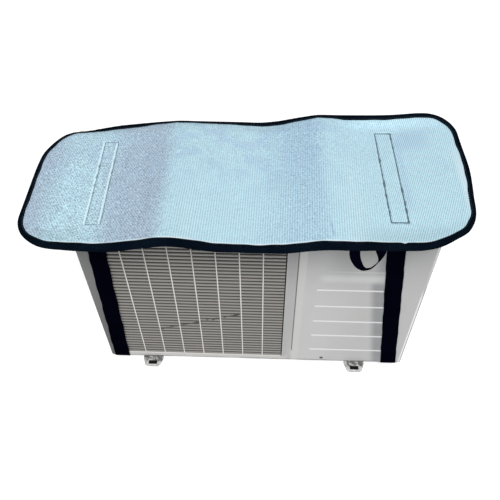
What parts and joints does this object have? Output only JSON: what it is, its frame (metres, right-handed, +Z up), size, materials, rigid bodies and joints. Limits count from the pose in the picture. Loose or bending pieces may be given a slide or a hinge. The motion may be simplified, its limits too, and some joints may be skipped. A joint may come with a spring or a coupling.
{
  "type": "air conditioner cover on an outdoor unit",
  "caption": "Foil-faced foam sun cover with a bound edge, lying in soft folds on an outdoor air conditioner unit, with webbing straps right round the unit and a small hanging loop.",
  "frame": {"origin": "on the ground, below the middle of the cover", "axes": "+X to the right along the unit's front and the cover's length, -Y towards the front, +Z up"},
  "size_m": [0.9367, 0.4207, 0.596],
  "materials": {
    "foil_foam": "pale silver-blue foil face over a fine woven grid, soft metallic sheen",
    "binding_tape": "near-black navy woven binding tape, matt",
    "webbing": "near-black ribbed webbing, matt",
    "loop_tape": "near-black narrow woven tape, matt",
    "painted_case": "light grey powder coat, slightly dusty",
    "grille_plastic": "warm grey moulded louvres, dusty",
    "grille_rib": "light grey moulded ribs",
    "foot_steel": "light grey painted pressed steel, worn"
  },
  "bodies": {
    "root": {"pad": "foil_foam", "binding": "binding_tape", "strap_left": "webbing", "strap_right": "webbing", "hanging_loop": "loop_tape", "unit_case": "painted_case", "grille_louvres": "grille_plastic", "grille_ribs": "grille_rib", "foot_left": "foot_steel", "foot_right": "foot_steel"}
  },
  "joints": []
}
